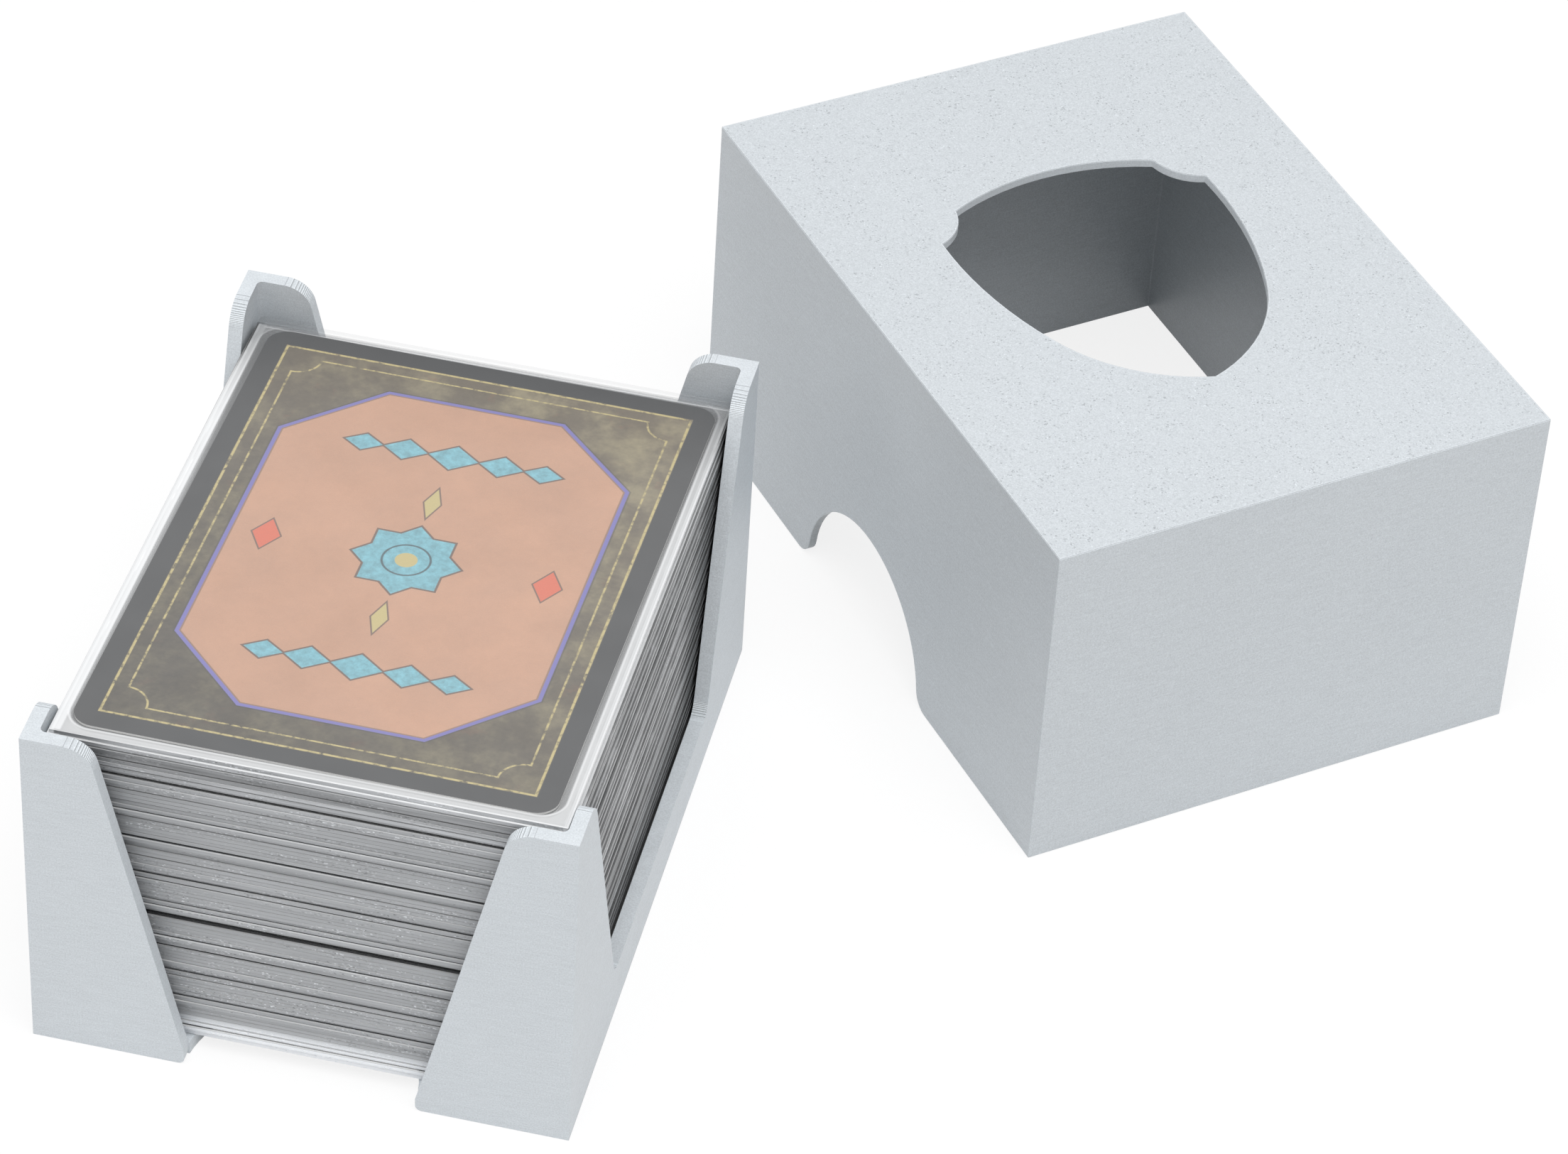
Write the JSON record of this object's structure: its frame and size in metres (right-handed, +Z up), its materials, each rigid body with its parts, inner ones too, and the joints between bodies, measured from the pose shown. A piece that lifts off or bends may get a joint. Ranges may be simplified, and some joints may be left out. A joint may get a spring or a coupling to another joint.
{
  "type": "card storage box",
  "caption": "Open tray with corner posts holding a deck of sleeved cards, and a deep slip-over cover with finger arches and a shield-shaped window, standing beside it.",
  "frame": {"origin": "middle of the tray's footprint, on the surface that it stands on", "axes": "+X across the tray, +Y along it towards its far end, +Z up"},
  "size_m": [0.178, 0.1949, 0.0536],
  "materials": {
    "printed_tray": "silver-grey printed plastic with fine layer lines",
    "printed_cover": "silver-grey printed plastic with fine layer lines",
    "sleeve_film": "clear glossy film",
    "card_stock": "coated card, dark printed face and white core at the edge",
    "card_back": "printed card back, dark border round a brown field"
  },
  "bodies": {
    "tray": {"tray": "printed_tray"},
    "cover": {"cover": "printed_cover"},
    "lower_pack": {"lower_sleeves_01": "sleeve_film", "lower_sleeves_02": "sleeve_film", "lower_sleeves_03": "sleeve_film", "lower_sleeves_04": "sleeve_film", "lower_sleeves_05": "sleeve_film", "lower_sleeves_06": "sleeve_film", "lower_sleeves_07": "sleeve_film", "lower_sleeves_08": "sleeve_film", "lower_sleeves_09": "sleeve_film", "lower_sleeves_10": "sleeve_film", "lower_sleeves_11": "sleeve_film", "lower_cards_01": "card_stock", "lower_cards_02": "card_stock", "lower_cards_03": "card_stock", "lower_cards_04": "card_stock", "lower_cards_05": "card_stock", "lower_cards_06": "card_stock", "lower_cards_07": "card_stock", "lower_cards_08": "card_stock", "lower_cards_09": "card_stock", "lower_cards_10": "card_stock", "lower_cards_11": "card_stock"},
    "upper_pack": {"upper_sleeves_01": "sleeve_film", "upper_sleeves_02": "sleeve_film", "upper_sleeves_03": "sleeve_film", "upper_sleeves_04": "sleeve_film", "upper_sleeves_05": "sleeve_film", "upper_sleeves_06": "sleeve_film", "upper_sleeves_07": "sleeve_film", "upper_sleeves_08": "sleeve_film", "upper_sleeves_09": "sleeve_film", "upper_sleeves_10": "sleeve_film", "upper_sleeves_11": "sleeve_film", "upper_sleeves_12": "sleeve_film", "upper_sleeves_13": "sleeve_film", "upper_sleeves_14": "sleeve_film", "upper_cards_01": "card_stock", "upper_cards_02": "card_stock", "upper_cards_03": "card_stock", "upper_cards_04": "card_stock", "upper_cards_05": "card_stock", "upper_cards_06": "card_stock", "upper_cards_07": "card_stock", "upper_cards_08": "card_stock", "upper_cards_09": "card_stock", "upper_cards_10": "card_stock", "upper_cards_11": "card_stock", "upper_cards_12": "card_stock", "upper_cards_13": "card_stock", "upper_cards_14": "card_stock"},
    "top_card": {"top_sleeve": "sleeve_film", "top_card": "card_back"}
  },
  "joints": [
    {"name": "cover_lift", "type": "slide", "parent": "tray", "child": "cover", "axis": [0, 0, 1], "range_m": [0, 0.06]},
    {"name": "lower_pack_lift", "type": "slide", "parent": "tray", "child": "lower_pack", "axis": [0, 0, 1], "range_m": [0, 0.055]},
    {"name": "upper_pack_lift", "type": "slide", "parent": "lower_pack", "child": "upper_pack", "axis": [0, 0, 1], "range_m": [0, 0.036]},
    {"name": "top_card_lift", "type": "slide", "parent": "upper_pack", "child": "top_card", "axis": [0, 0, 1], "range_m": [0, 0.02]}
  ]
}
